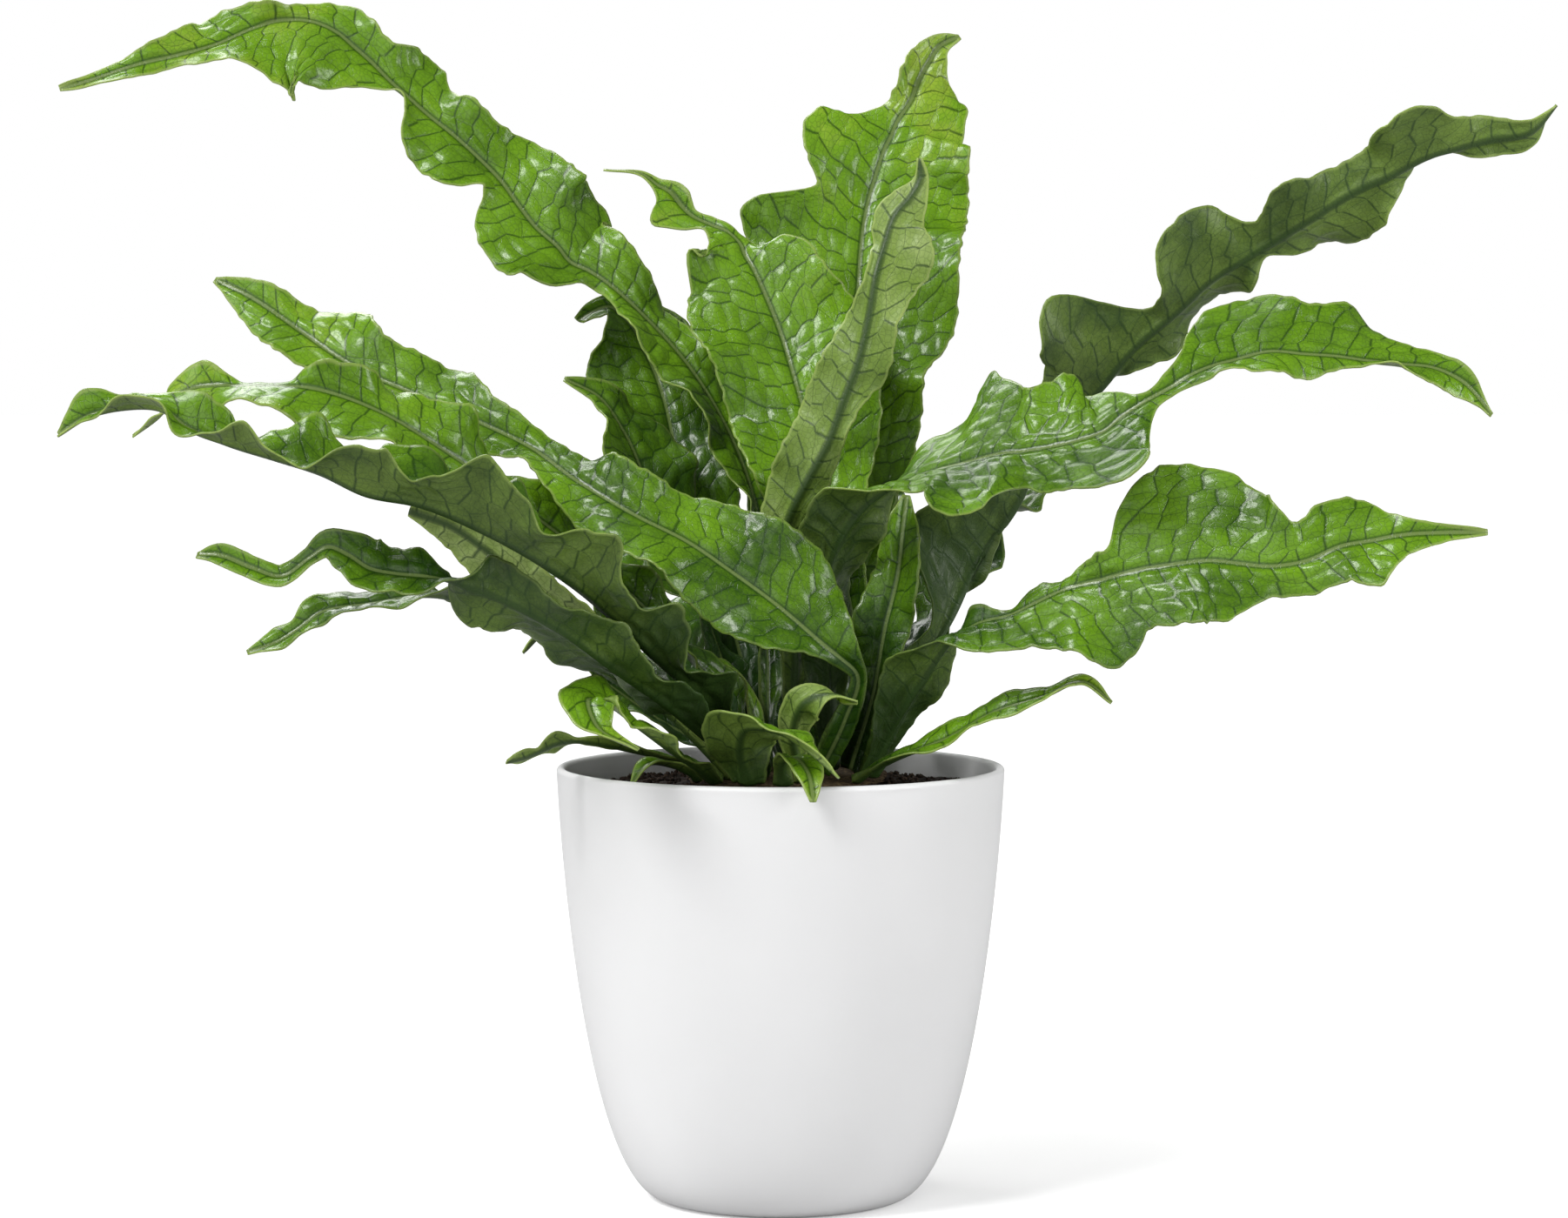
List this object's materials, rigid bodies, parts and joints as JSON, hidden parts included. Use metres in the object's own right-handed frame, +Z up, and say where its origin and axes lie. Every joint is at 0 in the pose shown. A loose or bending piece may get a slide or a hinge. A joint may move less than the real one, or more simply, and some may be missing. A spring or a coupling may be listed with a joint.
{
  "type": "potted fern",
  "caption": "Crocodile fern: long wavy, deeply veined fronds rise and arch from a creeping rhizome in potting soil, in a plain round tapered planter that stands on its flat base.",
  "frame": {"origin": "centre of the planter's flat base, on the surface it stands on", "axes": "+Z up through the planter's axis, -Y towards the viewer, +X to the viewer's right along the plant's widest spread"},
  "size_m": [0.6155, 0.4208, 0.4982],
  "materials": {
    "planter": "satin",
    "soil": "matte",
    "rhizome": "matte",
    "frond_bright": "gloss",
    "frond_deep": "satin",
    "frond_young": "satin"
  },
  "bodies": {
    "root": {"pot": "planter", "potting_soil": "soil", "rhizome": "rhizome", "frond_left_high": "frond_bright", "frond_centre_tall": "frond_bright", "frond_centre_broad": "frond_bright", "frond_centre_young": "frond_young", "frond_back_left_dark": "frond_deep", "frond_left_inner": "frond_deep", "frond_front_left_broad": "frond_bright", "frond_front_left_long": "frond_deep", "frond_left_mid": "frond_bright", "frond_left_pale": "frond_young", "frond_low_left_twist": "frond_deep", "frond_low_left_back": "frond_deep", "frond_left_hook": "frond_deep", "frond_low_left_curl": "frond_bright", "frond_low_left_beads": "frond_bright", "frond_rim_left_small": "frond_bright", "frond_front_centre_arch": "frond_bright", "frond_front_rim_small": "frond_bright", "frond_front_small_curl": "frond_young", "frond_inner_small": "frond_young", "frond_centre_dark": "frond_deep", "frond_right_front_arch": "frond_bright", "frond_right_high": "frond_deep", "frond_right_low": "frond_bright", "frond_right_inner": "frond_deep", "frond_right_low_narrow": "frond_bright", "frond_back_right": "frond_deep", "frond_back_left": "frond_deep", "frond_back_centre_right": "frond_deep", "frond_back_centre_left": "frond_deep", "frond_back_low_right": "frond_deep", "frond_back_low_left": "frond_deep", "frond_back_middle": "frond_deep"}
  },
  "joints": []
}
